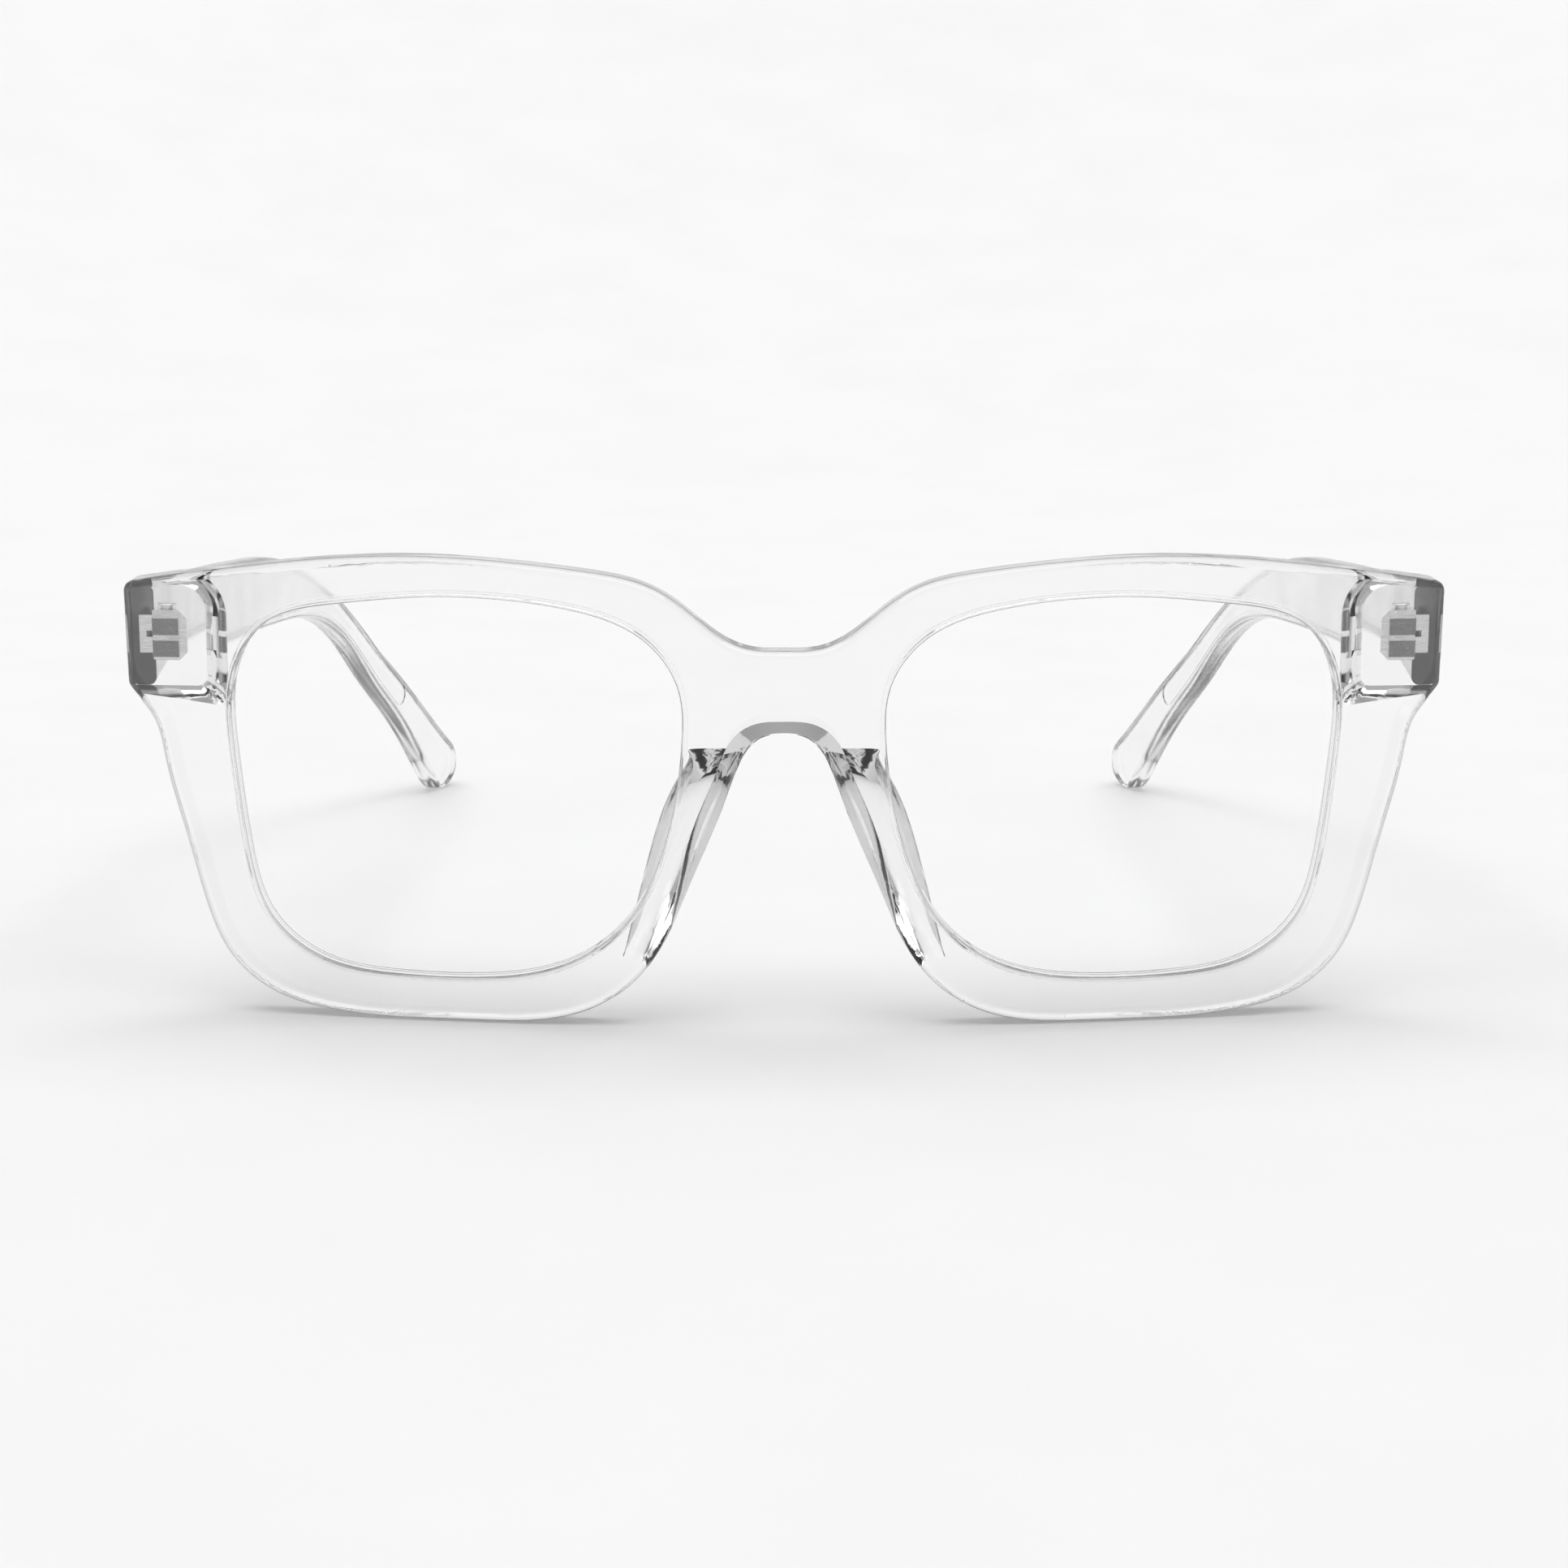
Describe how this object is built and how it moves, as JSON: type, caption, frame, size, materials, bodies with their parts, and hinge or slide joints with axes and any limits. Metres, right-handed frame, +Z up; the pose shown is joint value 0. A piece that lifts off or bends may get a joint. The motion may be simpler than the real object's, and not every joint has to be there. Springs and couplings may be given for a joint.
{
  "type": "glasses",
  "caption": "Clear plastic square full-rim glasses with light-filtering lenses, moulded nose pads and folding arms on barrel hinges.",
  "frame": {"origin": "on the table, under the middle of the open glasses' bounding box", "axes": "+X towards the wearer's left, +Y back along the arms, +Z up; the front faces -Y"},
  "size_m": [0.1468, 0.1401, 0.052],
  "materials": {
    "clear_plastic": "polished, clear",
    "lens": "polished, clear",
    "steel": "satin"
  },
  "bodies": {
    "front": {"front_frame": "clear_plastic", "lens_left": "lens", "lens_right": "lens", "front_hinge_leaf_left": "steel", "front_hinge_leaf_right": "steel", "hinge_screw_left": "steel", "hinge_screw_right": "steel"},
    "arm_left": {"arm_left": "clear_plastic", "arm_hinge_leaf_left": "steel"},
    "arm_right": {"arm_right": "clear_plastic", "arm_hinge_leaf_right": "steel"}
  },
  "joints": [
    {"name": "left_hinge", "type": "hinge", "parent": "front", "child": "arm_left", "pos_m": [0.0687, -0.0521, 0.0419], "axis": [0, 0, 1], "range_deg": [0, 85]},
    {"name": "right_hinge", "type": "hinge", "parent": "front", "child": "arm_right", "pos_m": [-0.0687, -0.0521, 0.0419], "axis": [0, 0, -1], "range_deg": [0, 80]}
  ]
}
